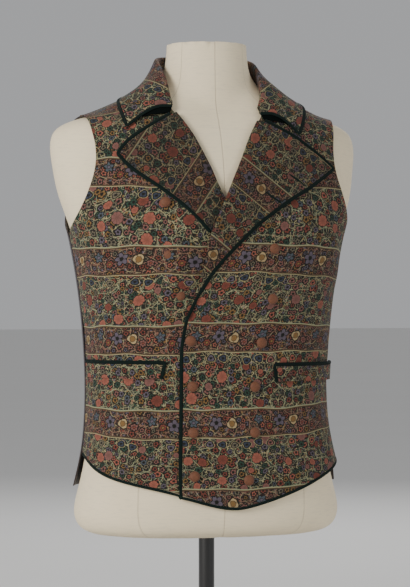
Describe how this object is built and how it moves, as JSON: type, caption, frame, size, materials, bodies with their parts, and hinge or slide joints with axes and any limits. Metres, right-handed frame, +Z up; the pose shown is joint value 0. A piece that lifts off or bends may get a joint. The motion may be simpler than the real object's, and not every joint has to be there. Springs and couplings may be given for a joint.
{
  "type": "double-breasted waistcoat on a limbless dress form",
  "caption": "Double-breasted waistcoat in flowered cloth with notched lapels and braid-bound edges, standing on a limbless dress form with a pole and a round foot.",
  "frame": {"origin": "on the floor at the centre of the round foot, under the pole", "axes": "+Z up the pole, -Y out of the waistcoat's front, +X towards the wearer's left"},
  "size_m": [0.438, 0.3, 0.89],
  "materials": {
    "printed_cloth": "matte print in narrow and wide bands of small flowers on dark grounds",
    "back_cloth": "dark sateen with a soft sheen",
    "binding": "ribbed dark green braid",
    "button_cloth": "rust woven cloth over a domed mould",
    "form_cloth": "plain cream calico, matte",
    "stand_metal": "gloss black enamel"
  },
  "bodies": {
    "root": {"front_left": "printed_cloth", "front_right": "printed_cloth", "lapel_left": "printed_cloth", "lapel_right": "printed_cloth", "collar": "printed_cloth", "welt_left": "printed_cloth", "welt_right": "printed_cloth", "back": "back_cloth", "braid_collar": "binding", "braid_edge_left": "binding", "braid_hem_left": "binding", "braid_hem_right": "binding", "braid_lapel_left": "binding", "braid_lapel_right": "binding", "braid_welt_left": "binding", "braid_welt_right": "binding", "button_1_left": "button_cloth", "button_2_left": "button_cloth", "button_3_left": "button_cloth", "button_4_left": "button_cloth", "button_5_left": "button_cloth", "button_6_left": "button_cloth", "button_1_right": "button_cloth", "button_2_right": "button_cloth", "button_3_right": "button_cloth", "button_4_right": "button_cloth", "button_5_right": "button_cloth", "button_6_right": "button_cloth", "button_7_right": "button_cloth", "dress_form": "form_cloth", "stand_pole": "stand_metal", "stand_foot": "stand_metal"}
  },
  "joints": []
}
